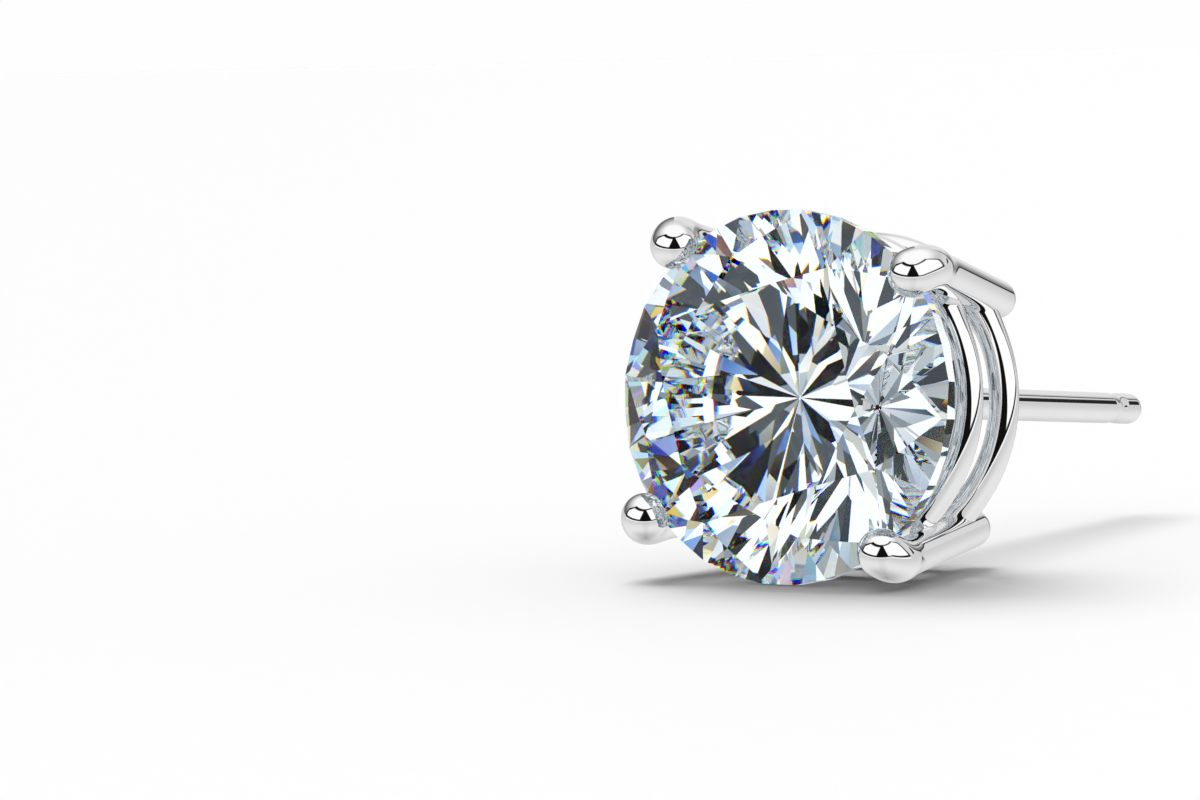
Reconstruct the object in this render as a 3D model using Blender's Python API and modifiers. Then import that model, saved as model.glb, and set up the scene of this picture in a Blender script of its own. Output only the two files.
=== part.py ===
"""Stud earring: a round brilliant-cut stone in a four-claw basket with a straight ear post.

The stud is modelled along its own axis: local +Z comes out of the stone's table, the post runs
to -Z, and z = 0 is the front edge of the girdle. It is then laid down the way it comes to rest,
on a flat of the girdle and on the base ring, with the face to -Y and the post to +Y.
Lengths are in metres and angles in radians.
"""
import math

import bmesh
import bpy
import numpy as np
from mathutils import Vector

MM = 0.001

# The stone and its cut
STONE_DIAMETER = 7.4 * MM
TABLE_DIAMETER = 4.4 * MM
CULET_DIAMETER = 0.1 * MM
GIRDLE_THICKNESS = 0.36 * MM
CROWN_ANGLE = math.radians(32.5)
PAVILION_ANGLE = math.radians(40.75)
MAIN_FACETS = 8
GIRDLE_SIDES = 4 * MAIN_FACETS
STAR_SHARE = 0.5
LOWER_HALF_SHARE = 0.77

# The four claws: places are given from the girdle's edge outwards and from its front edge back
CLAW_COUNT = 4
CLAW_DIAMETER = 0.78 * MM
CLAW_TIP_DIAMETER = 0.96 * MM
CLAW_TIP_OUTSIDE = 0.15 * MM
CLAW_TIP_FORWARD = 0.22 * MM
CLAW_KNEE_OUTSIDE = 0.39 * MM
CLAW_KNEE_BACK = 0.02 * MM
CLAW_BEND_LENGTH = 0.40 * MM
CLAW_FOOT_INSIDE = 0.42 * MM
CLAW_FOOT_BEHIND_RING = 0.62 * MM
CLAW_SIDES = 16
SEAT_CLEARANCE = 0.05 * MM

# The two rings of round wire that join the claws, and the bar that carries the post. A solder
# depth is how far one round wire reaches into the other.
WIRE_DIAMETER = 0.60 * MM
RAIL_BACK = 1.85 * MM
RAIL_SOLDER_DEPTH = 0.11 * MM
RING_SOLDER_DEPTH = 0.38 * MM
RING_SEGMENTS = 64
WIRE_SIDES = 12
BAR_DIAMETER = 0.70 * MM
BAR_BEHIND_CULET = 0.10 * MM
BAR_SOLDER_DEPTH = 0.12 * MM
BAR_SIDES = 24

# The ear post, measured from the middle of the bar
POST_DIAMETER = 0.67 * MM
POST_LENGTH = 11.3 * MM
POST_FLAT_DIAMETER = 0.24 * MM
POST_SIDES = 24
GROOVE_FROM_END = 1.09 * MM
GROOVE_WIDTH = 0.56 * MM
GROOVE_DEPTH = 0.03 * MM

# Steps along curved outlines, and the distance under which points are the same
ROUND_END_STEPS = 4
TIP_STEPS = 8
BEND_STEPS = 6
ROUND_END_ANGLE = math.radians(85)
GROOVE_STEPS = 6
WELD = 0.0005 * MM
CUT_TOLERANCE = 0.0001 * MM
SHARP_ANGLE = math.radians(35)

# Colours
METAL_COLOUR = (0.86, 0.86, 0.87)
STONE_COLOUR = (0.97, 0.98, 1.0)

# What follows from those sizes
GIRDLE_RADIUS = STONE_DIAMETER / 2
TABLE_RADIUS = TABLE_DIAMETER / 2
MAIN_STEP = 2 * math.pi / MAIN_FACETS
CROWN_HEIGHT = (GIRDLE_RADIUS - TABLE_RADIUS) * math.tan(CROWN_ANGLE)
TABLE_EDGE_RADIUS = TABLE_RADIUS * math.cos(MAIN_STEP / 2)
STAR_TIP_RADIUS = TABLE_EDGE_RADIUS + STAR_SHARE * (GIRDLE_RADIUS - TABLE_EDGE_RADIUS)
STAR_TIP_HEIGHT = (GIRDLE_RADIUS - STAR_TIP_RADIUS * math.cos(MAIN_STEP / 2)) * math.tan(CROWN_ANGLE)
LOWER_TIP_RADIUS = (1 - LOWER_HALF_SHARE) * GIRDLE_RADIUS
LOWER_TIP_DEPTH = (GIRDLE_RADIUS - LOWER_TIP_RADIUS * math.cos(MAIN_STEP / 2)) * math.tan(PAVILION_ANGLE)
CULET_BACK = GIRDLE_THICKNESS + (GIRDLE_RADIUS - CULET_DIAMETER / 2) * math.tan(PAVILION_ANGLE)
BAR_BACK = CULET_BACK + BAR_BEHIND_CULET + BAR_DIAMETER / 2
RING_BACK = BAR_BACK - (BAR_DIAMETER + WIRE_DIAMETER) / 2 + BAR_SOLDER_DEPTH
CLAW_FOOT_BACK = RING_BACK + CLAW_FOOT_BEHIND_RING
POST_END_BACK = BAR_BACK + POST_LENGTH

# How it lies: rolled by half a girdle flat, so that one flat is lowest
REST_ROLL = -math.pi / GIRDLE_SIDES
GIRDLE_FLAT_RADIUS = GIRDLE_RADIUS * math.cos(math.pi / GIRDLE_SIDES)
END_BALL_BACK = POST_END_BACK - math.sqrt((POST_DIAMETER / 2) ** 2 - (POST_FLAT_DIAMETER / 2) ** 2)


def clear_scene():
    """Remove whatever the open file holds."""
    for thing in list(bpy.data.objects):
        bpy.data.objects.remove(thing, do_unlink=True)


def new_collection(name):
    """Make a collection under the scene's own."""
    collection = bpy.data.collections.new(name)
    bpy.context.scene.collection.children.link(collection)
    return collection


def new_material(name, colour, metallic, roughness, transmission=0.0):
    """Make a plain Principled material."""
    material = bpy.data.materials.new(name)
    material.use_nodes = True
    shader = material.node_tree.nodes["Principled BSDF"]
    shader.inputs["Base Color"].default_value = (*colour, 1.0)
    shader.inputs["Metallic"].default_value = metallic
    shader.inputs["Roughness"].default_value = roughness
    shader.inputs["Transmission Weight"].default_value = transmission
    return material


def place(thing, collection, axis):
    """Put an object in its collection and on the stud's axis."""
    for other in list(thing.users_collection):
        other.objects.unlink(thing)
    collection.objects.link(thing)
    thing.parent = axis
    return thing


def as_tool(thing):
    """Mark an object as a shape that only cuts or joins others."""
    thing.hide_render = True
    thing.display_type = "WIRE"
    return thing


def mesh_object(name, shape):
    """Turn a bmesh into an object whose faces point outwards."""
    bmesh.ops.remove_doubles(shape, verts=shape.verts[:], dist=WELD)
    bmesh.ops.recalc_face_normals(shape, faces=shape.faces[:])
    mesh = bpy.data.meshes.new(name)
    shape.to_mesh(mesh)
    shape.free()
    return bpy.data.objects.new(name, mesh)


# Points and planes

def polar(radius, azimuth, height):
    """A point, or a direction, from its distance to the axis, its azimuth and its height."""
    return Vector((radius * math.cos(azimuth), radius * math.sin(azimuth), height))


def plane_through(first, second, third):
    """The plane through three points, as a point and a normal that points away from the girdle's middle."""
    normal = (second - first).cross(third - first).normalized()
    middle = Vector((0, 0, -GIRDLE_THICKNESS / 2))
    if normal.dot(first - middle) < 0:
        normal.negate()
    return first, normal


# The stone

def star_plane(middle):
    """The star facet between the table corners at azimuth middle and at the next one."""
    return plane_through(polar(TABLE_RADIUS, middle, CROWN_HEIGHT),
                         polar(TABLE_RADIUS, middle + MAIN_STEP, CROWN_HEIGHT),
                         polar(STAR_TIP_RADIUS, middle + MAIN_STEP / 2, STAR_TIP_HEIGHT))


def kite_plane(middle):
    """The kite facet at azimuth middle."""
    return polar(GIRDLE_RADIUS, middle, 0), polar(math.sin(CROWN_ANGLE), middle, math.cos(CROWN_ANGLE))


def upper_half_plane(middle, corner):
    """The half facet above the girdle, between the kite at azimuth middle and azimuth corner."""
    return plane_through(polar(GIRDLE_RADIUS, middle, 0),
                         polar(GIRDLE_RADIUS, corner, 0),
                         polar(STAR_TIP_RADIUS, corner, STAR_TIP_HEIGHT))


def main_plane(middle):
    """The main facet of the pavilion at azimuth middle."""
    girdle_point = polar(GIRDLE_RADIUS, middle, -GIRDLE_THICKNESS)
    return girdle_point, polar(math.sin(PAVILION_ANGLE), middle, -math.cos(PAVILION_ANGLE))


def lower_half_plane(middle, corner):
    """The half facet below the girdle, between the main facet at azimuth middle and azimuth corner."""
    return plane_through(polar(GIRDLE_RADIUS, middle, -GIRDLE_THICKNESS),
                         polar(GIRDLE_RADIUS, corner, -GIRDLE_THICKNESS),
                         polar(LOWER_TIP_RADIUS, corner, -GIRDLE_THICKNESS - LOWER_TIP_DEPTH))


def facet_planes():
    """Every facet of the brilliant cut except the girdle, as points and outward normals."""
    planes = [(Vector((0, 0, CROWN_HEIGHT)), Vector((0, 0, 1))),
              (Vector((0, 0, -CULET_BACK)), Vector((0, 0, -1)))]
    for index in range(MAIN_FACETS):
        middle = index * MAIN_STEP
        planes += [star_plane(middle), kite_plane(middle), main_plane(middle)]
        for side in (-1, 1):
            corner = middle + side * MAIN_STEP / 2
            planes += [upper_half_plane(middle, corner), lower_half_plane(middle, corner)]
    return planes


def cut_away(shape, point, normal):
    """Cut everything off a convex shape that lies outside a plane, and close it with a facet."""
    geometry = shape.verts[:] + shape.edges[:] + shape.faces[:]
    cut = bmesh.ops.bisect_plane(shape, geom=geometry, dist=CUT_TOLERANCE,
                                 plane_co=point, plane_no=normal, clear_outer=True)
    rim = [item for item in cut["geom_cut"] if isinstance(item, bmesh.types.BMEdge)]
    bmesh.ops.edgeloop_fill(shape, edges=rim)


def brilliant(name, clearance):
    """A round brilliant with all its surfaces moved out by clearance, cut from a many-sided blank."""
    shape = bmesh.new()
    blank_radius = GIRDLE_RADIUS + clearance / math.cos(math.pi / GIRDLE_SIDES)
    bmesh.ops.create_cone(shape, cap_ends=True, segments=GIRDLE_SIDES, radius1=blank_radius,
                          radius2=blank_radius, depth=4 * GIRDLE_RADIUS)
    for point, normal in facet_planes():
        cut_away(shape, point + normal * clearance, normal)
    return mesh_object(name, shape)


# The setting

def claw_path():
    """The claw's centre line through foot, knee and tip, as distances to the axis and heights.

    Each row also holds the length along the line, which is 0 at the middle of the rounded foot.
    Past the foot and the tip the line goes straight on, as far as their rounded ends reach.
    """
    foot = np.array([GIRDLE_RADIUS - CLAW_FOOT_INSIDE, -CLAW_FOOT_BACK])
    knee = np.array([GIRDLE_RADIUS + CLAW_KNEE_OUTSIDE, -CLAW_KNEE_BACK])
    tip = np.array([GIRDLE_RADIUS + CLAW_TIP_OUTSIDE, CLAW_TIP_FORWARD])
    up = (knee - foot) / np.linalg.norm(knee - foot)
    inward = (tip - knee) / np.linalg.norm(tip - knee)
    bend_start = knee - up * CLAW_BEND_LENGTH
    share = np.linspace(0, 1, 4 * BEND_STEPS + 1)[:, None]
    bend = (1 - share) ** 2 * bend_start + 2 * share * (1 - share) * knee + share ** 2 * tip
    line = np.vstack([foot - up * CLAW_DIAMETER, foot, bend, tip + inward * CLAW_TIP_DIAMETER])
    length = np.concatenate([[0], np.cumsum(np.linalg.norm(np.diff(line, axis=0), axis=1))])
    return np.column_stack([line, length - CLAW_DIAMETER])


def ring_centre_radius(back, solder_depth):
    """The centre radius of a wire ring inside the claws, a given depth behind the girdle's front edge."""
    path = claw_path()
    claw_radius = float(np.interp(-back, path[:, 1], path[:, 0]))
    return claw_radius - (CLAW_DIAMETER + WIRE_DIAMETER) / 2 + solder_depth


def claw_stations():
    """Centres and radii of the claw's round sections, from the foot's end to the ball tip's end."""
    path = claw_path()
    wire = CLAW_DIAMETER / 2
    ball = CLAW_TIP_DIAMETER / 2
    bend_start = path[2, 2]
    tip = path[-2, 2]
    foot_angle = np.linspace(ROUND_END_ANGLE, 0, ROUND_END_STEPS + 1)
    neck_angle = math.acos(wire / ball)
    tip_angle = np.linspace(-neck_angle, ROUND_END_ANGLE, TIP_STEPS + 1)
    neck = tip - ball * math.sin(neck_angle)
    bend = np.linspace(bend_start, neck, BEND_STEPS)[:-1]
    length = np.concatenate([-wire * np.sin(foot_angle), bend, tip + ball * np.sin(tip_angle)])
    radii = np.concatenate([wire * np.cos(foot_angle), np.full(len(bend), wire), ball * np.cos(tip_angle)])
    centres = np.column_stack([np.interp(length, path[:, 2], path[:, 0]),
                               np.interp(length, path[:, 2], path[:, 1])])
    return centres, radii


def claw(name, azimuth):
    """One claw: a bent round wire with a rounded foot and a ball tip."""
    centres, radii = claw_stations()
    curve = bpy.data.curves.new(name, "CURVE")
    curve.dimensions = "3D"
    curve.bevel_depth = CLAW_DIAMETER / 2
    curve.bevel_resolution = (CLAW_SIDES - 4) // 2
    curve.use_fill_caps = True
    spline = curve.splines.new("POLY")
    spline.points.add(len(centres) - 1)
    for point, (radius, height), section in zip(spline.points, centres, radii):
        point.co = (*polar(radius, azimuth, height), 1)
        point.radius = section / curve.bevel_depth
    return curve_to_mesh(bpy.data.objects.new(name, curve))


def curve_to_mesh(curve_object):
    """Replace a curve object by a welded mesh object."""
    bpy.context.scene.collection.objects.link(curve_object)
    graph = bpy.context.evaluated_depsgraph_get()
    mesh = bpy.data.meshes.new_from_object(curve_object.evaluated_get(graph))
    name = curve_object.name
    bpy.data.objects.remove(curve_object, do_unlink=True)
    shape = bmesh.new()
    shape.from_mesh(mesh)
    bpy.data.meshes.remove(mesh)
    return mesh_object(name, shape)


def wire_ring(name, radius, back):
    """A ring of round wire about the axis."""
    bpy.ops.mesh.primitive_torus_add(major_radius=radius, minor_radius=WIRE_DIAMETER / 2,
                                     major_segments=RING_SEGMENTS, minor_segments=WIRE_SIDES,
                                     location=(0, 0, -back))
    ring = bpy.context.object
    ring.name = name
    return ring


def post_bar(name, length):
    """The straight bar across the back of the basket, behind the culet."""
    shape = bmesh.new()
    bmesh.ops.create_cone(shape, cap_ends=True, segments=BAR_SIDES, radius1=BAR_DIAMETER / 2,
                          radius2=BAR_DIAMETER / 2, depth=length)
    bar = mesh_object(name, shape)
    bar.location = (0, 0, -BAR_BACK)
    bar.rotation_euler = (math.pi / 2, 0, 0)
    return bar


def post_profile():
    """The outer side of the post from the bar to its end, as distance to the axis and height."""
    radius = POST_DIAMETER / 2
    groove_share = np.linspace(-1, 1, GROOVE_STEPS + 1)
    groove_radius = radius - GROOVE_DEPTH * (1 + np.cos(math.pi * groove_share)) / 2
    groove_height = -(POST_END_BACK - GROOVE_FROM_END) - groove_share * GROOVE_WIDTH / 2
    flat_angle = math.acos(POST_FLAT_DIAMETER / POST_DIAMETER)
    end_angle = np.linspace(0, flat_angle, ROUND_END_STEPS + 1)
    end_radius = radius * np.cos(end_angle)
    end_height = -END_BALL_BACK - radius * np.sin(end_angle)
    along = np.concatenate([[0, radius], groove_radius, end_radius, [0]])
    height = np.concatenate([[-BAR_BACK, -BAR_BACK], groove_height, end_height, end_height[-1:]])
    return np.column_stack([along, np.zeros(len(along)), height])


def ear_post(name):
    """The ear post, turned about the axis."""
    points = post_profile()
    mesh = bpy.data.meshes.new(name)
    mesh.from_pydata(points.tolist(), [(i, i + 1) for i in range(len(points) - 1)], [])
    post = bpy.data.objects.new(name, mesh)
    turn = post.modifiers.new("turn", "SCREW")
    turn.axis = "Z"
    turn.angle = 2 * math.pi
    turn.steps = POST_SIDES
    turn.render_steps = POST_SIDES
    turn.use_merge_vertices = True
    turn.merge_threshold = WELD
    return post


def combine(piece, tool, operation):
    """Join a tool shape to a piece, or cut it out of the piece."""
    step = piece.modifiers.new(tool.name, "BOOLEAN")
    step.operation = operation
    step.object = tool
    step.solver = "EXACT"


def shade_round(thing):
    """Shade the curved faces smooth and keep the edges sharp."""
    thing.data.shade_smooth()
    thing.data.set_sharp_from_angle(angle=SHARP_ANGLE)


def build_setting(axis, pieces, tools):
    """The soldered setting: base ring, upper rail, claws, bar and post as one metal body."""
    ring_radius = ring_centre_radius(RING_BACK, RING_SOLDER_DEPTH)
    rail_radius = ring_centre_radius(RAIL_BACK, RAIL_SOLDER_DEPTH)
    setting = place(wire_ring("claw_setting_with_post", ring_radius, RING_BACK), pieces, axis)
    setting.data.materials.append(new_material("white_metal", METAL_COLOUR, 1.0, 0.05))
    joined = [wire_ring("upper_rail_shape", rail_radius, RAIL_BACK)]
    for index in range(CLAW_COUNT):
        azimuth = (index + 0.5) * 2 * math.pi / CLAW_COUNT
        joined.append(claw(f"claw_shape_{index + 1}", azimuth))
    joined += [post_bar("post_bar_shape", 2 * ring_radius), ear_post("ear_post_shape")]
    for shape in joined:
        shade_round(as_tool(place(shape, tools, axis)))
        combine(setting, shape, "UNION")
    seat = as_tool(place(brilliant("stone_seat_shape", SEAT_CLEARANCE), tools, axis))
    combine(setting, seat, "DIFFERENCE")
    shade_round(setting)
    return setting


def build_stone(axis, pieces):
    """The cut stone."""
    stone = place(brilliant("round_brilliant_stone", 0.0), pieces, axis)
    stone.data.materials.append(new_material("clear_stone", STONE_COLOUR, 0.0, 0.0, 1.0))
    return stone


def tilt_onto(centre_radius, back, round_radius):
    """The tilt at which the girdle's lowest flat and a round further back both touch the floor."""
    rise = GIRDLE_FLAT_RADIUS - centre_radius
    arm = back - GIRDLE_THICKNESS
    return math.acos(round_radius / math.hypot(rise, arm)) - math.atan2(arm, rise)


def lay_down(axis, things):
    """Lay the stud on the floor, with its box centred on the origin and standing on z = 0.

    It leans back from the girdle until the base ring or the post's end meets the floor.
    """
    ring_radius = ring_centre_radius(RING_BACK, RING_SOLDER_DEPTH)
    rest_tilt = min(tilt_onto(ring_radius, RING_BACK, WIRE_DIAMETER / 2),
                    tilt_onto(0, END_BALL_BACK, POST_DIAMETER / 2))
    axis.rotation_mode = "ZYX"
    axis.rotation_euler = (math.pi / 2 - rest_tilt, 0, REST_ROLL)
    bpy.context.view_layer.update()
    graph = bpy.context.evaluated_depsgraph_get()
    corners = []
    for thing in things:
        evaluated = thing.evaluated_get(graph)
        corners += [evaluated.matrix_world @ vertex.co for vertex in evaluated.data.vertices]
    points = np.array(corners)
    low = points.min(axis=0)
    high = points.max(axis=0)
    axis.location = (-(low[0] + high[0]) / 2, -(low[1] + high[1]) / 2, -low[2])


def main():
    """Build the stud earring."""
    clear_scene()
    pieces = new_collection("stud_earring")
    tools = new_collection("stud_earring_tool_shapes")
    axis = bpy.data.objects.new("stud_axis", None)
    pieces.objects.link(axis)
    setting = build_setting(axis, pieces, tools)
    stone = build_stone(axis, pieces)
    lay_down(axis, [setting, stone])


main()
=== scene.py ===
"""Stud earring: a round brilliant in a polished four-claw basket, lying on a pale studio floor.

The stone and the setting are worked out in the stud's own axes, where +Z comes out of the stone's
table and z = 0 is the front edge of the girdle. They are then laid down where the frame has them.
Sizes are in metres. Angles are in radians, apart from those of the studio, which are in degrees.
"""
import math

import bmesh
import bpy
import numpy as np
from mathutils import Matrix, Vector


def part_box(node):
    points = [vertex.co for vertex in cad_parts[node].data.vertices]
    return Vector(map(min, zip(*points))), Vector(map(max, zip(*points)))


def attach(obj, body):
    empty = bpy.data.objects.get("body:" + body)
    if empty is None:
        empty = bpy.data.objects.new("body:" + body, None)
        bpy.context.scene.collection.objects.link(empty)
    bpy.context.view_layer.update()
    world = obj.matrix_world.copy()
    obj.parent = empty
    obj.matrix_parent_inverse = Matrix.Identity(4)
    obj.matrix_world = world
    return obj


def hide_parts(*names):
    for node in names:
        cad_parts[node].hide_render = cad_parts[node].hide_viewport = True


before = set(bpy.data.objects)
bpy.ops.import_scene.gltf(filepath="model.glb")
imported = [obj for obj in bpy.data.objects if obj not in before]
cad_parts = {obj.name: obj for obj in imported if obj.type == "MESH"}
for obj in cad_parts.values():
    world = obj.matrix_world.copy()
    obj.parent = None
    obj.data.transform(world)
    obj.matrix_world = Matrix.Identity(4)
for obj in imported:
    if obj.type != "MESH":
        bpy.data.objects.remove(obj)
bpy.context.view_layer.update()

MM = 0.001

# The stone
GIRDLE_RADIUS = 3.7 * MM
TABLE_RADIUS = 2.2 * MM
CULET_RADIUS = 0.05 * MM
GIRDLE_THICKNESS = 0.36 * MM
CROWN_ANGLE = math.radians(32.5)
PAVILION_ANGLE = math.radians(40.75)
STAR_SHARE = 0.5
LOWER_HALF_SHARE = 0.77
MAINS = 8
GIRDLE_SIDES = 4 * MAINS
EIGHTH = 2 * math.pi / MAINS
GIRDLE_STEP = 2 * math.pi / GIRDLE_SIDES
MAIN_RIDGE = math.radians(2.0)
LOWER_RIDGE = math.radians(2.0)
UPPER_RIDGE = math.radians(1.0)
ROUGH_BLOCK = 3 * GIRDLE_RADIUS
CUT_TOLERANCE_MM = 1e-5

# The claws: places go outwards from the girdle's edge and back from its front edge
CLAW_COUNT = 4
CLAW_SPACING = 2 * math.pi / CLAW_COUNT
CLAW_RADIUS = 0.39 * MM
CLAW_TIP_RADIUS = 0.48 * MM
CLAW_TIP = (GIRDLE_RADIUS + 0.15 * MM, 0.22 * MM)
CLAW_KNEE = (GIRDLE_RADIUS + 0.39 * MM, -0.02 * MM)
CLAW_FOOT_RADIUS = GIRDLE_RADIUS - 0.42 * MM
CLAW_BEND_LENGTH = 0.40 * MM
CLAW_SWELL_LENGTH = 1.1 * MM
SEAT_CLEARANCE = 0.02 * MM

# The two wire rings, the bar and the post
WIRE_RADIUS = 0.30 * MM
RAIL_BACK = 1.85 * MM
RAIL_SOLDER_DEPTH = 0.11 * MM
RING_SOLDER_DEPTH = 0.38 * MM
SOLDER_SWELL = 0.07 * MM
SOLDER_SPREAD = 0.42 * MM
BAR_RADIUS = 0.35 * MM
BAR_BEHIND_CULET = 0.10 * MM
BAR_SOLDER_DEPTH = 0.12 * MM
BAR_EDGE_ROUND = 0.06 * MM
POST_RADIUS = 0.335 * MM
POST_LENGTH = 11.3 * MM
POST_FLAT_RADIUS = 0.12 * MM
GROOVE_FROM_END = 1.09 * MM
GROOVE_WIDTH = 0.56 * MM
GROOVE_DEPTH = 0.03 * MM
POST_SOLDER_SWELL = 0.10 * MM
POST_SOLDER_SPREAD = 0.22 * MM

# Grid sizes: steps along a path and round a section, how far round a round end goes before it is
# capped, and how far either way a path's direction is felt out
CLAW_STEPS = 150
CLAW_FOOT_STEPS = 25
CLAW_TIP_STEPS = 37
CLAW_BEND_STEPS = 200
CLAW_SIDES = 72
RING_STEPS = 384
RING_SIDES = 32
POST_STEPS = 160
POST_END_STEPS = 26
POST_SIDES = 64
BAR_EDGE_STEPS = 8
ROUND_END_ANGLE = math.radians(89)
TANGENT_REACH = 0.01 * MM

# Depths behind the girdle's front edge
CULET_BACK = GIRDLE_THICKNESS + (GIRDLE_RADIUS - CULET_RADIUS) * math.tan(PAVILION_ANGLE)
BAR_BACK = CULET_BACK + BAR_BEHIND_CULET + BAR_RADIUS
RING_BACK = BAR_BACK - BAR_RADIUS - WIRE_RADIUS + BAR_SOLDER_DEPTH
CLAW_FOOT_BACK = RING_BACK + 0.62 * MM
POST_END_BACK = BAR_BACK + POST_LENGTH

# How light goes through the stone and off the metal
STONE_INDEX = 2.42
INDEX_BY_COLOUR = (((1, 0, 0), 2.405), ((0, 1, 0), STONE_INDEX), ((0, 0, 1), 2.448))
SURFACE_GLOSS_INDEX = 1.25
INNER_TINT = (0.97, 0.99, 1.0)
STONE_SHADE = (0.42, 0.42, 0.43)
WIPE_ROUGHNESS = (0.015, 0.05)
RIPPLE_DEPTH = 0.01 * MM
LIGHT_BOUNCES = 32
METAL_BOUNCES = 16

# The camera: where it looks from, and where the middle of the girdle's front falls in the picture
CAMERA_AZIMUTH = math.radians(32.85)
CAMERA_ELEVATION = math.radians(4.213)
CAMERA_ROLL = math.radians(-1.55)
CAMERA_LENS_MM = 150
SENSOR_WIDTH_MM = 36
CAMERA_DEPTH = 98.25 * MM
CAMERA_CLIP = (1 * MM, 10)
PICTURE_WIDTH = 1200
PICTURE_HEIGHT = 800
STONE_PIXEL = (782.3, 397.1)

# The studio: brightness of its parts, and how far it leans towards the camera
WHITE = (1.0, 1.0, 1.0)
SHEET_LEVEL = 0.99
SHEET_COLOUR = 0.90
SHEET_TOOTH = (SHEET_COLOUR + 0.004, SHEET_COLOUR + 0.016)
DOME_LEVEL = 0.56
SOFTBOX_LEVEL = 1.10
SURROUND_LEVEL = 0.006
DARK_LINE_LEVEL = 0.02
SPARKLE_LEVEL = 1.1
SPARKLE_TINTS = ((0.74, 0.88, 1.0), (0.97, 0.99, 1.0))
STUDIO_LEAN = math.radians(13.8)
FLOOR_REACH = 1.5

# The wing on the right, in degrees: its far edge, how that leans with height and steps at the
# horizon, and how the dark line that shows along the post leans with height
WING_EDGE = 138.2
WING_LEAN = 0.2
WING_STEP = 5.6
POST_LINE_LEAN = 0.95

# The key light: how far it stands back and left for each metre up, and how wide it looks
KEY_BACK = 0.52
KEY_LEFT = 0.22
KEY_WIDTH = math.radians(38)


# Laying things down

def rest_matrix():
    """The stud's axes as it lies: rolled by half a girdle flat, then leaned back onto the base ring."""
    half_flat = GIRDLE_STEP / 2
    drop = GIRDLE_RADIUS * math.cos(half_flat) - ring_radius(RING_BACK, RING_SOLDER_DEPTH)
    arm = RING_BACK - GIRDLE_THICKNESS
    tilt = math.acos(WIRE_RADIUS / math.hypot(drop, arm)) - math.atan2(arm, drop)
    turn = Matrix.Rotation(math.pi / 2 - tilt, 3, "X") @ Matrix.Rotation(-half_flat, 3, "Z")
    return np.array(turn)


def lay(points):
    """Points from the stud's own axes to the floor, set against the frame's stone."""
    turn = rest_matrix()
    low = (brilliant_points() @ turn.T).min(axis=0)
    return points @ turn.T + (np.array(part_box("round_brilliant_stone")[0]) - low)


def make_piece(name, points, faces, smooth):
    """A mesh object at the origin with its place in its points, riding on the frame."""
    mesh = bpy.data.meshes.new(name)
    mesh.from_pydata(points.tolist(), [], faces)
    mesh.polygons.foreach_set("use_smooth", np.full(len(mesh.polygons), smooth))
    mesh.update()
    piece = bpy.data.objects.new(name, mesh)
    bpy.context.scene.collection.objects.link(piece)
    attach(piece, "root")
    return piece


# The stone

def ring_points(radius, height, first, count):
    """Points on a level circle: the radius times cos and sin of evenly spaced azimuths."""
    azimuth = first + np.arange(count) * 2 * math.pi / count
    heights = np.full(count, height)
    return np.column_stack([radius * np.cos(azimuth), radius * np.sin(azimuth), heights])


def plane_height(first, second, third, point):
    """The height at which the plane through three corners passes over or under a point."""
    normal = np.cross(second - first, third - first)
    return first[2] - (point[:2] - first[:2]) @ normal[:2] / normal[2]


def brilliant_points():
    """The corners of the cut, ring by ring.

    Table corners lie over the main facets. Star tips, lower tips and culet corners lie half an
    eighth further on. The girdle has 32 corners above and 32 below: those over mains and tips are
    level, and those between lie where the half facets' planes meet the girdle.
    """
    half = EIGHTH / 2
    table_height = (GIRDLE_RADIUS - TABLE_RADIUS) * math.tan(CROWN_ANGLE)
    table_edge = TABLE_RADIUS * math.cos(half)
    star_radius = table_edge + STAR_SHARE * (GIRDLE_RADIUS - table_edge)
    star_height = (GIRDLE_RADIUS - star_radius * math.cos(half)) * math.tan(CROWN_ANGLE)
    lower_radius = (1 - LOWER_HALF_SHARE) * GIRDLE_RADIUS
    lower_depth = (GIRDLE_RADIUS - lower_radius * math.cos(half)) * math.tan(PAVILION_ANGLE)
    table = ring_points(TABLE_RADIUS, table_height, 0, MAINS)
    stars = ring_points(star_radius, star_height, half, MAINS)
    upper = ring_points(GIRDLE_RADIUS, 0, 0, GIRDLE_SIDES)
    lower = ring_points(GIRDLE_RADIUS, -GIRDLE_THICKNESS, 0, GIRDLE_SIDES)
    tips = ring_points(lower_radius, -GIRDLE_THICKNESS - lower_depth, half, MAINS)
    upper[1::2, 2] = plane_height(upper[0], upper[2], stars[0], upper[1])
    lower[1::2, 2] = plane_height(lower[0], lower[2], tips[0], lower[1])
    culet = ring_points(CULET_RADIUS / math.cos(half), -CULET_BACK, half, MAINS)
    return np.vstack([table, stars, upper, lower, tips, culet])


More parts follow.
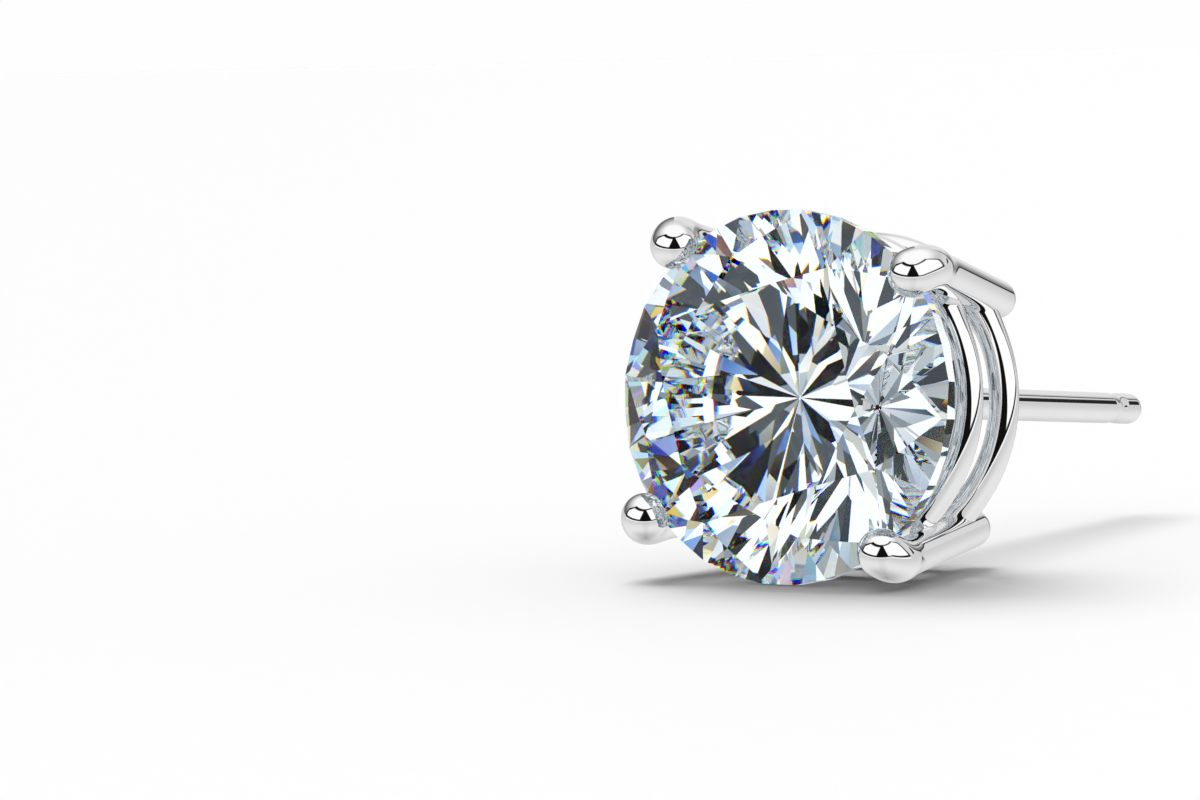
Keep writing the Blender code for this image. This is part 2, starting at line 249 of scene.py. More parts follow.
def brilliant_faces():
    """The facets as rings of corner numbers, by kind."""
    table = 0
    stars = table + MAINS
    upper = stars + MAINS
    lower = upper + GIRDLE_SIDES
    tips = lower + GIRDLE_SIDES
    culet = tips + MAINS
    flats = [list(range(table, table + MAINS)), list(range(culet, culet + MAINS))[::-1]]
    faces = {"flat": flats, "star_kite": [], "upper": [], "lower": [], "main": [], "girdle": []}
    for i in range(MAINS):
        after = (i + 1) % MAINS
        before = (i - 1) % MAINS
        g = 4 * i
        g_after = 4 * after
        faces["star_kite"].append([table + i, stars + i, table + after])
        faces["star_kite"].append([table + i, stars + before, upper + g, stars + i])
        faces["upper"].append([stars + i, upper + g, upper + g + 1, upper + g + 2])
        faces["upper"].append([stars + i, upper + g + 2, upper + g + 3, upper + g_after])
        faces["lower"].append([tips + i, lower + g + 2, lower + g + 1, lower + g])
        faces["lower"].append([tips + i, lower + g_after, lower + g + 3, lower + g + 2])
        faces["main"].append([lower + g, tips + before, culet + before, culet + i, tips + i])
    for j in range(GIRDLE_SIDES):
        after = (j + 1) % GIRDLE_SIDES
        faces["girdle"].append([upper + j, lower + j, lower + after, upper + after])
    return faces


def facet_planes(faces):
    """For each facet its outward normal, its middle, and how far its plane lies from the origin."""
    points = brilliant_points()
    first, second, third = (points[[face[k] for face in faces]] for k in (0, 1, 2))
    middles = np.array([points[face].mean(axis=0) for face in faces])
    normals = np.cross(second - first, third - first)
    normals /= np.linalg.norm(normals, axis=1)[:, None]
    return normals, middles, (normals * first).sum(axis=1)


def turned_planes(faces, angle):
    """The planes of the facets, each turned about the stone's axis but still through its middle."""
    normals, middles, _ = facet_planes(faces)
    turn = np.array(Matrix.Rotation(angle, 3, "Z"))
    normals = normals @ turn.T
    return normals, (normals * middles).sum(axis=1)


def cut_planes():
    """Every plane of the cut, as normals and distances from the origin.

    Mains and halves are polished as pairs of facets that meet in a barely raised ridge, which
    breaks the light inside the stone into finer flashes.
    """
    faces = brilliant_faces()
    blocks = [turned_planes(faces["flat"] + faces["star_kite"] + faces["girdle"], 0)]
    for kind, angle in (("main", MAIN_RIDGE), ("lower", LOWER_RIDGE), ("upper", UPPER_RIDGE)):
        blocks += [turned_planes(faces[kind], angle), turned_planes(faces[kind], -angle)]
    normals = np.vstack([block[0] for block in blocks])
    offsets = np.concatenate([block[1] for block in blocks])
    return normals, offsets


def build_stone():
    """A block cut down to the stone plane by plane, each cut closed with its flat facet.

    The cutting is done in millimetres, because Blender cuts too coarsely at a few thousandths of
    a metre.
    """
    shape = bmesh.new()
    bmesh.ops.create_cube(shape, size=ROUGH_BLOCK / MM)
    for normal, offset in zip(*cut_planes()):
        everything = shape.verts[:] + shape.edges[:] + shape.faces[:]
        cut = bmesh.ops.bisect_plane(shape, geom=everything, dist=CUT_TOLERANCE_MM,
                                     plane_co=normal * offset / MM, plane_no=normal, clear_outer=True)
        rim = [item for item in cut["geom_cut"] if isinstance(item, bmesh.types.BMEdge)]
        bmesh.ops.edgeloop_fill(shape, edges=rim)
    bmesh.ops.recalc_face_normals(shape, faces=shape.faces)
    shape.verts.index_update()
    points = np.array([corner.co for corner in shape.verts]) * MM
    faces = [[corner.index for corner in face.verts] for face in shape.faces]
    shape.free()
    stone = make_piece("brilliant_cut_stone", lay(points), faces, False)
    stone.data.materials.append(stone_material())
    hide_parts("round_brilliant_stone")


# The setting

def claw_line():
    """The claw's centre line, as distances to the axis and heights, and the length up to each point.

    It runs straight from the foot towards the knee. From there it is the quadratic curve
    (1 - t)^2 start + 2 t (1 - t) knee + t^2 tip to the middle of the ball tip, and the straight
    line beyond. Length 0 is the middle of the round foot.
    """
    foot = np.array([CLAW_FOOT_RADIUS, -CLAW_FOOT_BACK])
    knee = np.array(CLAW_KNEE)
    tip = np.array(CLAW_TIP)
    up = (knee - foot) / np.linalg.norm(knee - foot)
    inward = (tip - knee) / np.linalg.norm(tip - knee)
    start = knee - up * CLAW_BEND_LENGTH
    t = np.linspace(0, 1, CLAW_BEND_STEPS)[:, None]
    bend = (1 - t) ** 2 * start + 2 * t * (1 - t) * knee + t ** 2 * tip
    line = np.vstack([foot - up * CLAW_RADIUS, foot, bend, tip + inward * CLAW_TIP_RADIUS])
    steps = np.linalg.norm(np.diff(line, axis=0), axis=1)
    along = np.concatenate([[0], np.cumsum(steps)]) - CLAW_RADIUS
    return line, along


def claw_path(lengths):
    """The distances to the axis and the heights of the claw's centre line at lengths along it."""
    line, along = claw_line()
    return np.column_stack([np.interp(lengths, along, line[:, side]) for side in (0, 1)])


def ring_radius(back, solder_depth):
    """The centre radius of a wire ring that is soldered to the insides of the claws at a depth."""
    line, _ = claw_line()
    claw_distance = np.interp(-back, line[:, 1], line[:, 0])
    return claw_distance - CLAW_RADIUS - WIRE_RADIUS + solder_depth


def grid_faces(rows, columns, first, closed_rows=False):
    """Quads of a grid whose columns close on themselves, and its rows too where it is a ring."""
    row = np.arange(rows if closed_rows else rows - 1)[:, None]
    column = np.arange(columns)[None, :]
    after_row = (row + 1) % rows
    after_column = (column + 1) % columns
    corners = [row * columns + column, after_row * columns + column,
               after_row * columns + after_column, row * columns + after_column]
    quads = np.stack([np.broadcast_to(c, (row.shape[0], columns)) for c in corners], axis=-1)
    return (quads.reshape(-1, 4) + first).tolist()


def cap_face(columns, first, flip):
    """One many-sided face over the end row of a grid."""
    ring = [first + i for i in range(columns)]
    return ring[::-1] if flip else ring


def claw_sections():
    """Lengths along the claw and the radius there: a round foot, the wire and the ball tip.

    The foot and the tip follow sin and cos of an angle. The wire swells into the ball along a
    half wave of a cosine, so that the polish flows over from one to the other.
    """
    tip = claw_line()[1][-2]
    foot_angle = np.linspace(ROUND_END_ANGLE, 0, CLAW_FOOT_STEPS)
    tip_angle = np.linspace(0, ROUND_END_ANGLE, CLAW_TIP_STEPS)
    middle = np.linspace(0, tip, CLAW_STEPS - CLAW_FOOT_STEPS - CLAW_TIP_STEPS + 2)[1:-1]
    share = np.clip((middle - tip) / CLAW_SWELL_LENGTH + 1, 0, 1)
    swell = (CLAW_TIP_RADIUS - CLAW_RADIUS) * (1 - np.cos(math.pi * share)) / 2
    lengths = [-CLAW_RADIUS * np.sin(foot_angle), middle, tip + CLAW_TIP_RADIUS * np.sin(tip_angle)]
    radii = [CLAW_RADIUS * np.cos(foot_angle), CLAW_RADIUS + swell, CLAW_TIP_RADIUS * np.cos(tip_angle)]
    return np.concatenate(lengths), np.concatenate(radii)


def claw_points(azimuth):
    """A circle carried along the claw's path, upright to it, in the plane of the claw and the axis."""
    lengths, radii = claw_sections()
    centre = claw_path(lengths)
    ahead = claw_path(lengths + TANGENT_REACH) - claw_path(lengths - TANGENT_REACH)
    ahead /= np.linalg.norm(ahead, axis=1)[:, None]
    angle = np.arange(CLAW_SIDES) * 2 * math.pi / CLAW_SIDES
    outward = radii[:, None] * np.cos(angle)
    sideways = radii[:, None] * np.sin(angle)
    distance = centre[:, :1] + outward * ahead[:, 1:]
    height = centre[:, 1:] - outward * ahead[:, :1]
    x = distance * math.cos(azimuth) - sideways * math.sin(azimuth)
    y = distance * math.sin(azimuth) + sideways * math.cos(azimuth)
    return np.stack([x, y, height], axis=-1).reshape(-1, 3)


def seat_on_stone(points, azimuth):
    """Metal that would lie inside the stone is pushed outwards, to just clear of the facets it meets.

    A facet's room is how far a point lies behind its plane and the clearance. The push is the
    least of the rooms, each divided by how squarely the facet faces outwards.
    """
    normals, _, offsets = facet_planes(sum(brilliant_faces().values(), []))
    outward = np.array([math.cos(azimuth), math.sin(azimuth), 0.0])
    room = offsets + SEAT_CLEARANCE - points @ normals.T
    inside = room.min(axis=1) > 0
    slope = normals @ outward
    least_slope = 1e-6
    travel = np.where(slope > least_slope, room / np.maximum(slope, least_slope), np.inf).min(axis=1)
    return points + np.where(inside, travel, 0.0)[:, None] * outward


def ring_surface(radius, back):
    """A wire ring about the axis: distance and height are its centre's plus the wire's radius times
    cos and sin. The wire swells by a bell curve where it is soldered to each claw."""
    azimuth = np.arange(RING_STEPS)[:, None] * 2 * math.pi / RING_STEPS
    angle = np.arange(RING_SIDES)[None, :] * 2 * math.pi / RING_SIDES
    from_claw = (azimuth % CLAW_SPACING - CLAW_SPACING / 2) * radius
    wire = WIRE_RADIUS + SOLDER_SWELL * np.exp(-(from_claw / SOLDER_SPREAD) ** 2)
    distance = radius + wire * np.cos(angle)
    height = -back + wire * np.sin(angle)
    x = distance * np.cos(azimuth)
    y = distance * np.sin(azimuth)
    return np.stack([x, y, height], axis=-1).reshape(-1, 3)


def turned(profile, sides):
    """A profile of distances and places along the axis, turned round the axis."""
    angle = np.arange(sides)[None, :] * 2 * math.pi / sides
    x = profile[:, :1] * np.cos(angle)
    y = profile[:, :1] * np.sin(angle)
    height = np.broadcast_to(profile[:, 1:], x.shape)
    return np.stack([x, y, height], axis=-1).reshape(-1, 3)


def post_profile():
    """The post from its round end to the bar: a ball with a small flat, a straight side with the
    clutch groove as one wave of a cosine, and a swell of solder where it meets the bar."""
    end_reach = math.sqrt(POST_RADIUS ** 2 - POST_FLAT_RADIUS ** 2)
    flat_angle = math.acos(POST_FLAT_RADIUS / POST_RADIUS)
    angle = np.linspace(flat_angle, 0, POST_END_STEPS)
    end = np.column_stack([POST_RADIUS * np.cos(angle),
                           -POST_END_BACK + end_reach - POST_RADIUS * np.sin(angle)])
    height = np.linspace(-POST_END_BACK + end_reach, -BAR_BACK, POST_STEPS)[1:]
    wave = np.clip((height + POST_END_BACK - GROOVE_FROM_END) / (GROOVE_WIDTH / 2), -1, 1)
    groove = GROOVE_DEPTH * (1 + np.cos(math.pi * wave)) / 2
    from_bar = np.maximum(-BAR_BACK - BAR_RADIUS - height, 0)
    solder = POST_SOLDER_SWELL * np.exp(-(from_bar / POST_SOLDER_SPREAD) ** 2)
    side = np.column_stack([POST_RADIUS - groove + solder, height])
    return np.vstack([end, side])


def bar_points(length):
    """The bar across the back: a round rod with softly rounded ends, along the stud's own Y."""
    half = length / 2
    angle = np.linspace(0, math.pi / 2, BAR_EDGE_STEPS)
    edge = np.column_stack([BAR_RADIUS - BAR_EDGE_ROUND + BAR_EDGE_ROUND * np.sin(angle),
                            -half + BAR_EDGE_ROUND - BAR_EDGE_ROUND * np.cos(angle)])
    profile = np.vstack([edge, edge[::-1] * (1, -1)])
    rod = turned(profile, POST_SIDES)
    return np.column_stack([rod[:, 1], rod[:, 2], rod[:, 0] - BAR_BACK])


def build_setting():
    """Claws, rail, base ring, bar and post as one polished piece."""
    rail_radius = ring_radius(RAIL_BACK, RAIL_SOLDER_DEPTH)
    base_radius = ring_radius(RING_BACK, RING_SOLDER_DEPTH)
    points = []
    faces = []

    def add(surface, columns, ring=False):
        """One more closed surface: a ring closes on itself, and anything else has its ends capped."""
        rows = len(surface) // columns
        first = sum(len(block) for block in points)
        faces.extend(grid_faces(rows, columns, first, ring))
        if not ring:
            faces.append(cap_face(columns, first, False))
            faces.append(cap_face(columns, first + (rows - 1) * columns, True))
        points.append(surface)

    for index in range(CLAW_COUNT):
        azimuth = (index + 0.5) * CLAW_SPACING
        add(seat_on_stone(claw_points(azimuth), azimuth), CLAW_SIDES)
    add(ring_surface(rail_radius, RAIL_BACK), RING_SIDES, ring=True)
    add(ring_surface(base_radius, RING_BACK), RING_SIDES, ring=True)
    add(turned(post_profile(), POST_SIDES), POST_SIDES)
    add(bar_points(2 * base_radius), POST_SIDES)
    setting = make_piece("polished_claw_setting", lay(np.vstack(points)), faces, True)
    setting.data.materials.append(metal_material())
    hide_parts("claw_setting_with_post")


# Nodes

def put(tree, socket, value):
    """Give a socket its value: a number, a colour of three numbers, or another node's output."""
    if isinstance(value, bpy.types.NodeSocket):
        tree.links.new(value, socket)
    elif isinstance(value, tuple):
        socket.default_value = (*value, 1.0)
    else:
        socket.default_value = value


def calculate(tree, operation, first, second=None, third=None):
    """One Math node on numbers or sockets; gives its output socket."""
    node = tree.nodes.new("ShaderNodeMath")
    node.operation = operation
    for socket, value in zip(node.inputs, (first, second, third)):
        if value is not None:
            put(tree, socket, value)
    return node.outputs[0]


def rise(tree, value, start, end, low=0.0, high=1.0):
    """A soft step from low at start to high at end; start may be the larger."""
    node = tree.nodes.new("ShaderNodeMapRange")
    node.interpolation_type = "SMOOTHSTEP"
    flip = end < start
    node.inputs["From Min"].default_value = min(start, end)
    node.inputs["From Max"].default_value = max(start, end)
    node.inputs["To Min"].default_value = high if flip else low
    node.inputs["To Max"].default_value = low if flip else high
    tree.links.new(value, node.inputs["Value"])
    return node.outputs["Result"]


def product(tree, *values):
    """The product of several sockets or numbers."""
    result = values[0]
    for value in values[1:]:
        result = calculate(tree, "MULTIPLY", result, value)
    return result


def strongest(tree, values):
    """The largest of several sockets."""
    result = values[0]
    for value in values[1:]:
        result = calculate(tree, "MAXIMUM", result, value)
    return result


def blend(tree, share, below, above):
    """below where share is 0 and above where it is 1; each may be a number or a socket."""
    span = calculate(tree, "SUBTRACT", above, below)
    return calculate(tree, "MULTIPLY_ADD", span, share, below)


def window(tree, value, low, high, soft):
    """1 between two angles and 0 outside them, with edges as many degrees soft as soft says."""
    half = soft / 2
    return product(tree, rise(tree, value, low - half, low + half),
                   rise(tree, value, high + half, high - half))


def strip(tree, value, middle, width):
    """1 on a strip round an angle and 0 beside it, with edges two degrees soft."""
    return window(tree, value, middle - width / 2, middle + width / 2, 2)


def noise(tree, scale, detail, place=None):
    """A cloudy pattern in a place or, without one, in the direction that is looked in."""
    node = tree.nodes.new("ShaderNodeTexNoise")
    node.inputs["Scale"].default_value = scale
    node.inputs["Detail"].default_value = detail
    if place is not None:
        tree.links.new(place, node.inputs["Vector"])
    return node.outputs["Fac"]


def colour_between(tree, share, first, second):
    """A colour that goes from the first to the second as the share goes from 0 to 1."""
    node = tree.nodes.new("ShaderNodeMix")
    node.data_type = "RGBA"
    put(tree, node.inputs["A"], first)
    put(tree, node.inputs["B"], second)
    tree.links.new(share, node.inputs["Factor"])
    return node.outputs["Result"]


def mix_shaders(tree, share, first, second):
    """The first shader where the share is 0 and the second where it is 1."""
    node = tree.nodes.new("ShaderNodeMixShader")
    tree.links.new(share, node.inputs["Fac"])
    tree.links.new(first, node.inputs[1])
    tree.links.new(second, node.inputs[2])
    return node.outputs[0]


def mirror(tree, colour):
    """A perfectly smooth mirror."""
    node = tree.nodes.new("ShaderNodeBsdfGlossy")
    node.inputs["Roughness"].default_value = 0.0
    put(tree, node.inputs["Color"], colour)
    return node.outputs[0]


def bending(tree, colour, index):
    """A perfectly smooth surface that lets light of a colour through and bends it by its index."""
    node = tree.nodes.new("ShaderNodeBsdfRefraction")
    node.inputs["Roughness"].default_value = 0.0
    node.inputs["IOR"].default_value = index
    put(tree, node.inputs["Color"], colour)
    return node.outputs[0]


def thrown_back(tree, index):
    """The share of light that a smooth surface of an index throws back."""
    node = tree.nodes.new("ShaderNodeFresnel")
    node.inputs["IOR"].default_value = index
    return node.outputs[0]


def background(tree, colour, strength):
    """Light that comes in from everywhere."""
    node = tree.nodes.new("ShaderNodeBackground")
    put(tree, node.inputs["Color"], colour)
    put(tree, node.inputs["Strength"], strength)
    return node.outputs[0]


# Materials

def new_material(name):
    """An empty node material: itself, its tree, its output and the place on the piece."""
    material = bpy.data.materials.new(name)
    material.use_nodes = True
    tree = material.node_tree
    tree.nodes.clear()
    output = tree.nodes.new("ShaderNodeOutputMaterial")
    place = tree.nodes.new("ShaderNodeTexCoord").outputs["Object"]
    return material, tree, output.inputs["Surface"], place


def fire(tree):
    """What the eye sees through the stone's surface, bent a little differently for each colour."""
    red, green, blue = (bending(tree, colour, index) for colour, index in INDEX_BY_COLOUR)
    red_green = tree.nodes.new("ShaderNodeAddShader")
    tree.links.new(red, red_green.inputs[0])
    tree.links.new(green, red_green.inputs[1])
    whole = tree.nodes.new("ShaderNodeAddShader")
    tree.links.new(red_green.outputs[0], whole.inputs[0])
    tree.links.new(blue, whole.inputs[1])
    return whole.outputs[0]


def stone_material():
    """Colourless stone.

    Inside, light that meets a facet at a flat angle is thrown back whole and the rest goes out,
    with only a faint part thrown back. The eye looks in through a thin gloss with faint marks of
    polishing. Light on its way to the sheet passes through the stone dimmed.
    """
    material, tree, surface, place = new_material("colourless_brilliant")
    inner_share = calculate(tree, "POWER", thrown_back(tree, STONE_INDEX), 2.0)
    inner = mix_shaders(tree, inner_share, bending(tree, WHITE, STONE_INDEX), mirror(tree, INNER_TINT))
    polish = rise(tree, noise(tree, 1.6 / MM, 3.0, place), 0.4, 0.6)
    gloss = mirror(tree, colour_between(tree, polish, (0.90, 0.93, 0.96), WHITE))
    outer = mix_shaders(tree, thrown_back(tree, SURFACE_GLOSS_INDEX), fire(tree), gloss)
    path = tree.nodes.new("ShaderNodeLightPath")
    seen = mix_shaders(tree, path.outputs["Is Camera Ray"], inner, outer)
    shade = tree.nodes.new("ShaderNodeBsdfTransparent")
    put(tree, shade.inputs["Color"], STONE_SHADE)
    to_sheet = strongest(tree, [path.outputs["Is Shadow Ray"], path.outputs["Is Diffuse Ray"]])
    tree.links.new(mix_shaders(tree, to_sheet, seen, shade.outputs[0]), surface)
    return material


def metal_material():
    """Mirror-polished white precious metal with the faint ripple and wipe marks of hand polishing."""
    material, tree, surface, place = new_material("polished_white_metal")
    shader = tree.nodes.new("ShaderNodeBsdfPrincipled")
    shader.inputs["Metallic"].default_value = 1.0
    wipe = noise(tree, 900.0, 4.0, place)
    sheen = tree.nodes.new("ShaderNodeMapRange")
    sheen.inputs["To Min"].default_value = WIPE_ROUGHNESS[0]
    sheen.inputs["To Max"].default_value = WIPE_ROUGHNESS[1]
    tree.links.new(wipe, sheen.inputs["Value"])
    tree.links.new(sheen.outputs["Result"], shader.inputs["Roughness"])
    tone = colour_between(tree, wipe, (0.90, 0.90, 0.91), (0.94, 0.94, 0.94))
    tree.links.new(tone, shader.inputs["Base Color"])
    bump = tree.nodes.new("ShaderNodeBump")
    bump.inputs["Strength"].default_value = 0.10
    bump.inputs["Distance"].default_value = RIPPLE_DEPTH
    tree.links.new(noise(tree, 450.0, 1.0, place), bump.inputs["Height"])
    tree.links.new(bump.outputs["Normal"], shader.inputs["Normal"])
    tree.links.new(shader.outputs[0], surface)
    return material


def floor_material():
    """A matt pale sheet with a barely visible tooth."""
    material, tree, surface, place = new_material("pale_studio_floor")
    shader = tree.nodes.new("ShaderNodeBsdfPrincipled")
    shader.inputs["Roughness"].default_value = 0.7
    shader.inputs["Specular IOR Level"].default_value = 0.2
    darker, lighter = ((tone, tone, tone) for tone in SHEET_TOOTH)
    tone = colour_between(tree, noise(tree, 1500.0, 2.0, place), darker, lighter)
    tree.links.new(tone, shader.inputs["Base Color"])
    tree.links.new(shader.outputs[0], surface)
    return material


# The studio

def build_floor():
    """A level pale floor that reaches far past the picture. The polish and the stone don't see it:
    they see the studio's own sheet in its place."""
    corners = [(-FLOOR_REACH, -FLOOR_REACH, 0), (FLOOR_REACH, -FLOOR_REACH, 0),
               (FLOOR_REACH, FLOOR_REACH, 0), (-FLOOR_REACH, FLOOR_REACH, 0)]
    mesh = bpy.data.meshes.new("studio_floor")
    mesh.from_pydata(corners, [], [(0, 1, 2, 3)])
    floor = bpy.data.objects.new("studio_floor", mesh)
    mesh.materials.append(floor_material())
    bpy.context.scene.collection.objects.link(floor)
    floor.visible_glossy = False
    floor.visible_transmission = False


def level_axes():
    """Towards the camera's side and to the camera's right, both level."""
    front = Vector((math.sin(CAMERA_AZIMUTH), -math.cos(CAMERA_AZIMUTH), 0))
    right = Vector((math.cos(CAMERA_AZIMUTH), math.sin(CAMERA_AZIMUTH), 0))
    return front, right


def studio_angles(tree):
    """Elevation, and azimuth from the camera to its right, of the direction that is looked in, in a
    studio that is leaned towards the camera."""
    front, right = level_axes()
    lean = Matrix.Rotation(STUDIO_LEAN, 3, right)
    coordinates = tree.nodes.new("ShaderNodeTexCoord")
    along = []
    for axis in (lean @ front, right, lean @ Vector((0, 0, 1))):
        dot = tree.nodes.new("ShaderNodeVectorMath")
        dot.operation = "DOT_PRODUCT"
        dot.inputs[1].default_value = axis
        tree.links.new(coordinates.outputs["Generated"], dot.inputs[0])
        along.append(dot.outputs["Value"])
    forwards, sideways, upwards = along
    elevation = calculate(tree, "MULTIPLY", calculate(tree, "ARCSINE", upwards), math.degrees(1))
    azimuth = calculate(tree, "ARCTAN2", sideways, forwards)
    return elevation, calculate(tree, "MULTIPLY", azimuth, math.degrees(1))


def sparkle_light(tree, elevation, azimuth):
    """How bright the studio is for what leaves the stone.

    It is a softly clouded tent with thin dark bars and one bright panel round the camera. Left of
    the camera is a dark field with thin bright slits, which makes the dark star in the table.
    """
    cloud = rise(tree, noise(tree, 11.0, 1.0), 0.34, 0.64, 0.34, 0.92)
    tent = product(tree, rise(tree, elevation, -4, -2, 0.90, 1.0), cloud)
    tent = blend(tree, strip(tree, azimuth, 12, 34), tent, SPARKLE_LEVEL)
    bars = [strip(tree, azimuth, middle, 7) for middle in (-150, -120, -90, 38, 75, 110, 145)]
    bars += [strip(tree, elevation, middle, 6) for middle in (-50, -22, 62)]
    tent = product(tree, tent, blend(tree, strongest(tree, bars), 1.0, 0.1))
    field = product(tree, window(tree, azimuth, -70, 4, 3), window(tree, elevation, -8, 44, 3))
    slits = [strip(tree, azimuth, middle, width) for middle, width in ((-56, 4), (-39, 3), (-22, 5))]
    slits += [strip(tree, elevation, middle, width) for middle, width in ((22, 4), (5, 3))]
    dark = rise(tree, elevation, 21, 23, 0.004, 0.11)
    return blend(tree, field, tent, blend(tree, strongest(tree, slits), dark, SPARKLE_LEVEL))


def sheet_light(tree, elevation, aside):
    """The pale sheet: darkest straight below and a little darker straight behind, which is painted
    shadow of the stud on the floor, palest 35 to 40 degrees down, a little darker straight ahead, and
    with a bright edge below the softboxes."""
    # The darkening straight below and straight behind is painted shadow of the stud on the floor, as the
    # polish sees it.
    sheet = product(tree, rise(tree, elevation, -88, -40, 0.50, 0.85),
                    rise(tree, elevation, -34, -4, 1.0, 0.78),
                    rise(tree, aside, 6, 26, 0.92, 1.0), rise(tree, aside, 176, 130, 0.76, 1.0))
    near_edge = product(tree, rise(tree, elevation, -6.5, -5.0), rise(tree, aside, 110, 104))
    return blend(tree, near_edge, sheet, 1.05)


def past_wing_light(tree, elevation, azimuth, dome):
    """What stands past the wing: dark beside its edge and paler further back, then the dome."""
    low = rise(tree, azimuth, 144, 166, 0.22, 0.80)
    high = rise(tree, azimuth, 138, 154, 0.22, 0.80)
    both = blend(tree, rise(tree, elevation, 2, 7), low, high)
    return blend(tree, rise(tree, elevation, 22, 46), both, dome)


def dark_lines(tree, elevation, azimuth, across_wing):
    """Two dark lines: along the wing's far edge, and a short leaned one in front of it, which shows
    along the post."""
    wing_line = product(tree, rise(tree, across_wing, WING_EDGE, WING_EDGE + 1.0),
                        rise(tree, across_wing, WING_EDGE + 4.4, WING_EDGE + 2.6),
                        rise(tree, elevation, -22, -12), rise(tree, elevation, 28, 20))
    across_post = calculate(tree, "MULTIPLY_ADD", elevation, -POST_LINE_LEAN, azimuth)
    post_line = product(tree, rise(tree, across_post, 119, 121), rise(tree, across_post, 129.5, 127.5),
                        rise(tree, elevation, -0.5, 0.8), rise(tree, elevation, 9.2, 7.6))
    return strongest(tree, [wing_line, post_line])


def softboxes(tree, elevation, azimuth, aside):
    """Where the black surround stands, and where the two softboxes stand in it. The inner edges of
    the boxes lean together with height, and past 80 degrees from the camera the tops come down."""
    past_front = calculate(tree, "MAXIMUM", calculate(tree, "SUBTRACT", aside, 80.0), 0.0)
    height = calculate(tree, "MULTIPLY_ADD", past_front, 1.1, elevation)
    surround = product(tree, rise(tree, height, 58, 55), rise(tree, aside, 112, 106),
                       rise(tree, elevation, -3, -2))
    slant = calculate(tree, "MULTIPLY", elevation, 0.4)
    left_edge = calculate(tree, "SUBTRACT", azimuth, slant)
    right_edge = calculate(tree, "ADD", azimuth, slant)
    left_box = product(tree, rise(tree, left_edge, -28, -32), rise(tree, azimuth, -103, -99),
                       rise(tree, elevation, 4, 7), rise(tree, height, 47, 42))
    right_box = product(tree, rise(tree, right_edge, 27, 31), rise(tree, azimuth, 105, 101),
                        rise(tree, elevation, 1, 4), rise(tree, height, 53, 48))
    return surround, calculate(tree, "ADD", left_box, right_box)


def studio_light(tree, elevation, azimuth):
    """How bright the studio is for the polished metal, by azimuth from the camera and elevation.

    Two tall softboxes stand either side of the camera in a black surround, with a black gap between
    them. Above and behind, a pale dome brightens upwards, and below is the pale sheet. On the right
    stands a pale wing whose dark far edge draws the thin line along the claws.
    """
    aside = calculate(tree, "ABSOLUTE", azimuth)
    across_wing = calculate(tree, "ADD", calculate(tree, "MULTIPLY_ADD", elevation, -WING_LEAN, azimuth),
                            rise(tree, elevation, -5, 4, -WING_STEP, 0.0))
    past_edge = rise(tree, across_wing, WING_EDGE, WING_EDGE + 1.2)
    dome = blend(tree, rise(tree, elevation, 0, 62), 0.10, 1.05)
    wing = blend(tree, rise(tree, elevation, 8, 50), 0.74, dome)
    past_wing = past_wing_light(tree, elevation, azimuth, dome)
    back = blend(tree, past_edge, wing, past_wing)
    above = blend(tree, rise(tree, azimuth, 100, 112), dome, back)
    low_back = product(tree, past_edge, rise(tree, elevation, -26, -12))
    sheet = blend(tree, low_back, sheet_light(tree, elevation, aside), past_wing)
    surround, boxes = softboxes(tree, elevation, azimuth, aside)
    level = blend(tree, rise(tree, elevation, -1.5, 0), sheet, above)
    level = blend(tree, dark_lines(tree, elevation, azimuth, across_wing), level, DARK_LINE_LEVEL)
    level = blend(tree, surround, level, SURROUND_LEVEL)
    return blend(tree, boxes, level, SOFTBOX_LEVEL)


def build_studio():
    """The studio as the polish and the stone see it, an even dome for the sheet, and a plain white
    background where the camera looks past the stud."""
    world = bpy.data.worlds.new("soft_studio")
    bpy.context.scene.world = world
    world.use_nodes = True
    tree = world.node_tree
    tree.nodes.clear()
    elevation, azimuth = studio_angles(tree)
    for_metal = background(tree, WHITE, studio_light(tree, elevation, azimuth))
    sparkle = sparkle_light(tree, elevation, azimuth)
    for_stone = background(tree, colour_between(tree, sparkle, *SPARKLE_TINTS), sparkle)
    path = tree.nodes.new("ShaderNodeLightPath")
    seen = mix_shaders(tree, path.outputs["Is Transmission Ray"], for_metal, for_stone)
    seen = mix_shaders(tree, path.outputs["Is Diffuse Ray"], seen, background(tree, WHITE, DOME_LEVEL))
    seen = mix_shaders(tree, path.outputs["Is Camera Ray"], seen, background(tree, WHITE, SHEET_LEVEL))
    output = tree.nodes.new("ShaderNodeOutputWorld")
    tree.links.new(seen, output.inputs["Surface"])


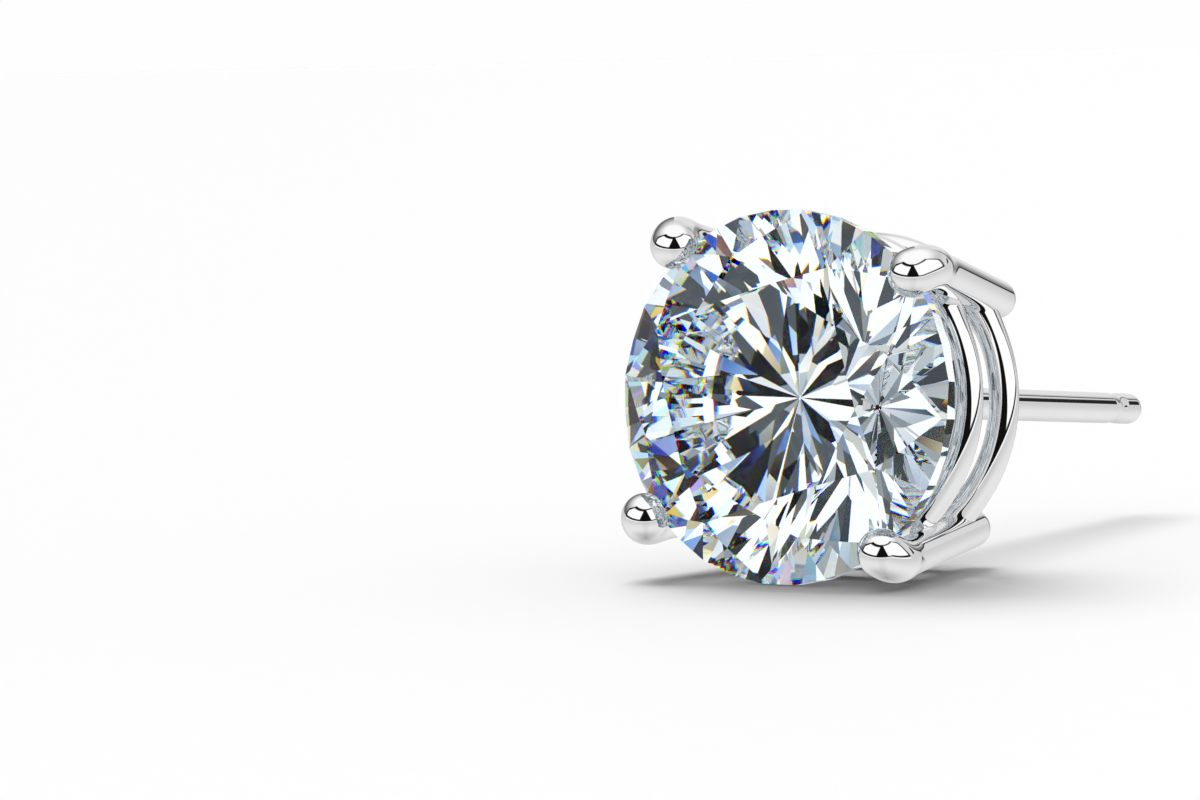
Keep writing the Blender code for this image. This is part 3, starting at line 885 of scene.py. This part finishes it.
def build_key_light():
    """A broad soft light from high up behind the stud and to its left, as the camera sees it, which
    lays the shadow forwards and to the right. It lights the sheet and shows in no reflection."""
    front, right = level_axes()
    source = (Vector((0, 0, 1)) - front * KEY_BACK - right * KEY_LEFT).normalized()
    lamp = bpy.data.lights.new("key_light", "SUN")
    lamp.angle = KEY_WIDTH
    lamp.energy = (SHEET_LEVEL / SHEET_COLOUR - DOME_LEVEL) * math.pi / source.z
    light = bpy.data.objects.new("key_light", lamp)
    bpy.context.scene.collection.objects.link(light)
    light.rotation_mode = "QUATERNION"
    light.rotation_quaternion = source.to_track_quat("Z", "Y")
    light.visible_glossy = False
    light.visible_transmission = False


def build_camera():
    """The camera, turned by azimuth, elevation and roll, and set back so that the middle of the
    girdle's front falls on its place in the picture."""
    camera_data = bpy.data.cameras.new("picture_camera")
    camera_data.lens = CAMERA_LENS_MM
    camera_data.sensor_width = SENSOR_WIDTH_MM
    camera_data.clip_start, camera_data.clip_end = CAMERA_CLIP
    camera = bpy.data.objects.new("picture_camera", camera_data)
    bpy.context.scene.collection.objects.link(camera)
    turn = (Matrix.Rotation(CAMERA_AZIMUTH, 3, "Z")
            @ Matrix.Rotation(math.pi / 2 - CAMERA_ELEVATION, 3, "X")
            @ Matrix.Rotation(CAMERA_ROLL, 3, "Z"))
    pixels = CAMERA_LENS_MM / SENSOR_WIDTH_MM * PICTURE_WIDTH
    aside = (STONE_PIXEL[0] - PICTURE_WIDTH / 2) / pixels * CAMERA_DEPTH
    above = (PICTURE_HEIGHT / 2 - STONE_PIXEL[1]) / pixels * CAMERA_DEPTH
    girdle_middle = Vector(lay(np.zeros((1, 3)))[0])
    place = girdle_middle - turn @ Vector((aside, above, -CAMERA_DEPTH))
    camera.matrix_world = Matrix.Translation(place) @ turn.to_4x4()
    bpy.context.scene.camera = camera


def set_light_paths():
    """Enough bounces for light to cross the stone, and plain white rendering."""
    scene = bpy.context.scene
    scene.cycles.max_bounces = LIGHT_BOUNCES
    scene.cycles.transmission_bounces = LIGHT_BOUNCES
    scene.cycles.glossy_bounces = METAL_BOUNCES
    scene.cycles.caustics_refractive = False
    scene.cycles.caustics_reflective = False
    scene.view_settings.view_transform = "Standard"


build_stone()
build_setting()
build_floor()
build_studio()
build_key_light()
build_camera()
set_light_paths()
